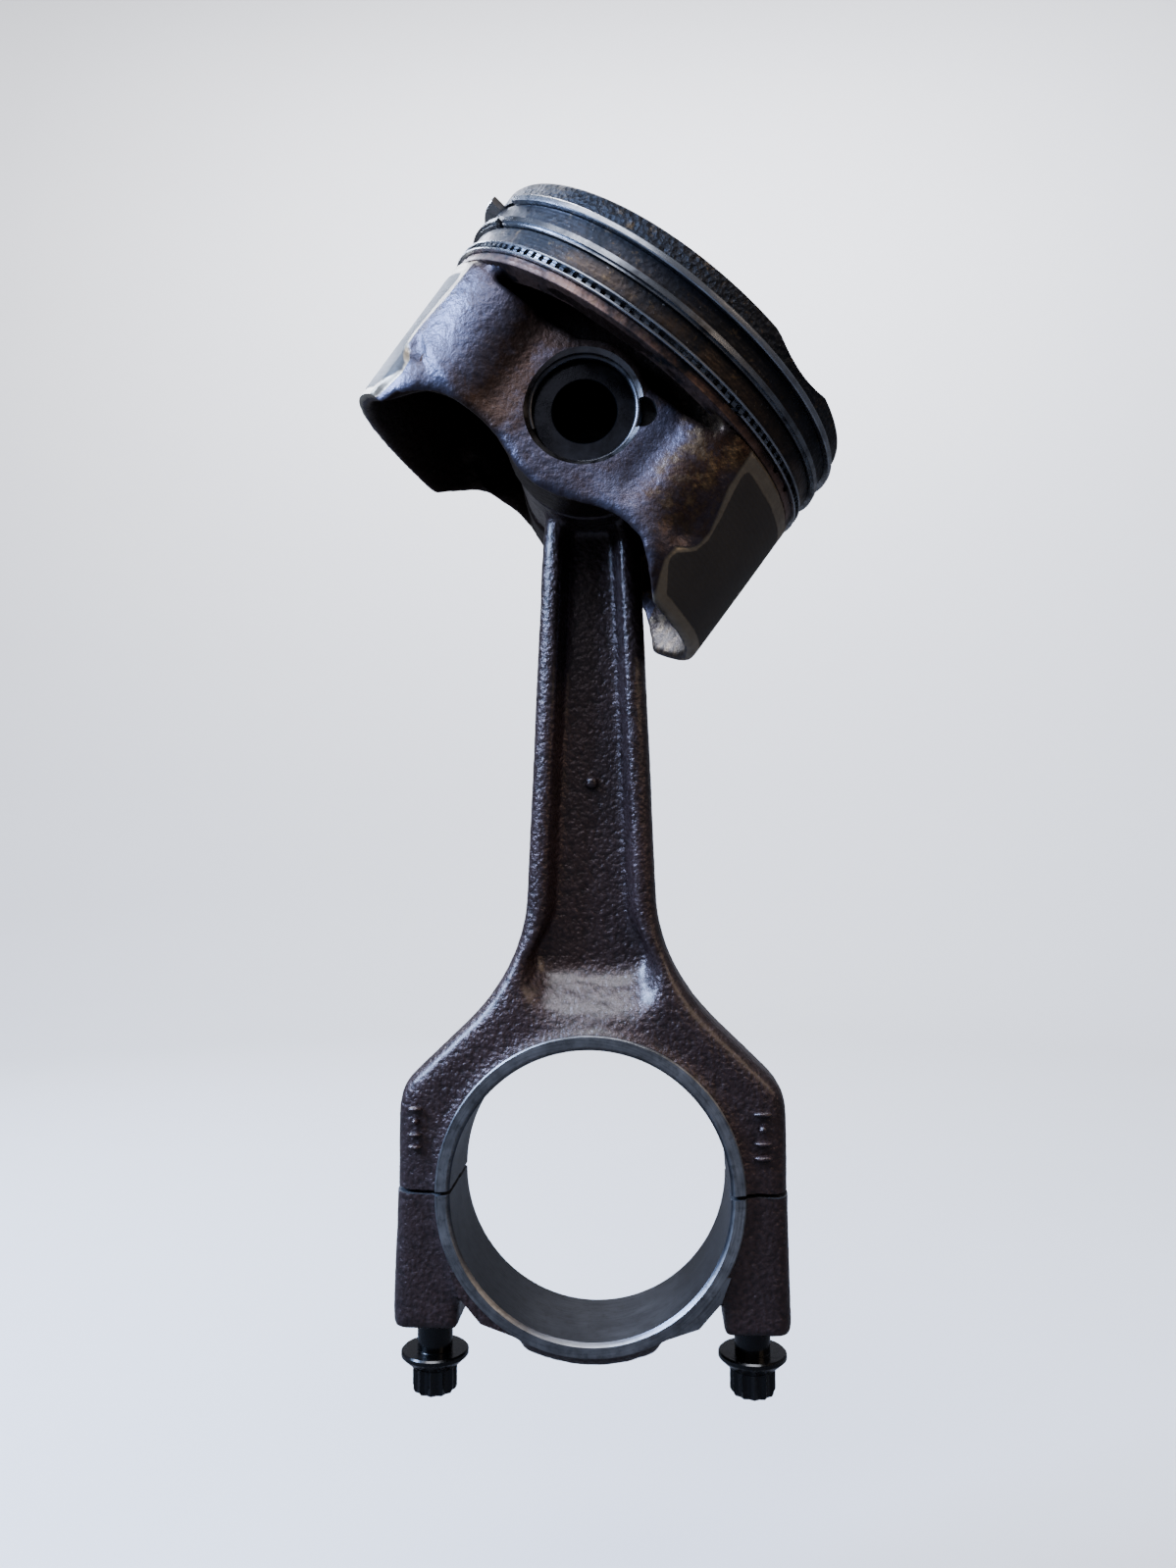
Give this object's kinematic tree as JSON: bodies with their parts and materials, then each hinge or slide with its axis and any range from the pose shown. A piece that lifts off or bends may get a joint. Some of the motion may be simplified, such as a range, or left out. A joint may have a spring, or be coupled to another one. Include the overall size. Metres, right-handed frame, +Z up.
{
  "type": "piston and connecting rod",
  "caption": "Used engine piston with its rings and wrist pin on a split forged connecting rod, cap and bolts backed off.",
  "frame": {"origin": "centre of the crankpin bore, in the rod's mid-plane", "axes": "+Z up the rod to the wrist pin, +Y along the crankpin and wrist-pin axes away from the front face, +X the side the piston hangs to"},
  "size_m": [0.0961, 0.0854, 0.2336],
  "materials": {
    "forged_steel": "shot-blasted forging, ground faces bright",
    "bronze": "bored",
    "black_bolt": "black oxide, oily",
    "cast_alloy": "as cast, stained, machined lands",
    "ring_steel": "lapped",
    "ring_iron": "lapped",
    "ground_steel": "ground, oily"
  },
  "bodies": {
    "rod": {"connecting_rod": "forged_steel", "small_end_bush": "bronze"},
    "cap": {"rod_cap": "forged_steel"},
    "bolt_left": {"rod_bolt_left": "black_bolt"},
    "bolt_right": {"rod_bolt_right": "black_bolt"},
    "piston": {"piston": "cast_alloy", "circlip_front": "ring_steel", "circlip_rear": "ring_steel"},
    "pin": {"wrist_pin": "ground_steel"},
    "top_compression_ring_body": {"top_compression_ring": "ring_steel"},
    "second_compression_ring_body": {"second_compression_ring": "ring_iron"},
    "oil_ring_upper_rail_body": {"oil_ring_upper_rail": "ring_steel"},
    "oil_ring_expander_body": {"oil_ring_expander": "ring_steel"},
    "oil_ring_lower_rail_body": {"oil_ring_lower_rail": "ring_steel"}
  },
  "joints": [
    {"name": "piston_swing", "type": "hinge", "parent": "rod", "child": "piston", "pos_m": [0, 0, 0.144], "axis": [0, 1, 0], "range_deg": [-81, 8.5]},
    {"name": "wrist_pin_spin", "type": "hinge", "parent": "piston", "child": "pin", "pos_m": [0, 0, 0.144], "axis": [0, 1, 0], "continuous": true},
    {"name": "cap_slide", "type": "slide", "parent": "rod", "child": "cap", "axis": [0, 0, 1], "range_m": [-0.034, 0.00078]},
    {"name": "bolt_left_slide", "type": "slide", "parent": "cap", "child": "bolt_left", "axis": [0, 0, 1], "range_m": [-0.03, 0.00665]},
    {"name": "bolt_right_slide", "type": "slide", "parent": "cap", "child": "bolt_right", "axis": [0, 0, 1], "range_m": [-0.03, 0.00565]},
    {"name": "top_compression_ring_turn", "type": "hinge", "parent": "piston", "child": "top_compression_ring_body", "pos_m": [0.01319, 0, 0.16465], "axis": [0.592, 0, 0.8059], "continuous": true},
    {"name": "second_compression_ring_turn", "type": "hinge", "parent": "piston", "child": "second_compression_ring_body", "pos_m": [0.0102, 0, 0.16058], "axis": [0.592, 0, 0.8059], "continuous": true},
    {"name": "oil_ring_upper_rail_turn", "type": "hinge", "parent": "piston", "child": "oil_ring_upper_rail_body", "pos_m": [0.00746, 0, 0.15686], "axis": [0.592, 0, 0.8059], "continuous": true},
    {"name": "oil_ring_expander_turn", "type": "hinge", "parent": "piston", "child": "oil_ring_expander_body", "pos_m": [0.00701, 0, 0.15625], "axis": [0.592, 0, 0.8059], "continuous": true},
    {"name": "oil_ring_lower_rail_turn", "type": "hinge", "parent": "piston", "child": "oil_ring_lower_rail_body", "pos_m": [0.00657, 0, 0.15565], "axis": [0.592, 0, 0.8059], "continuous": true}
  ]
}
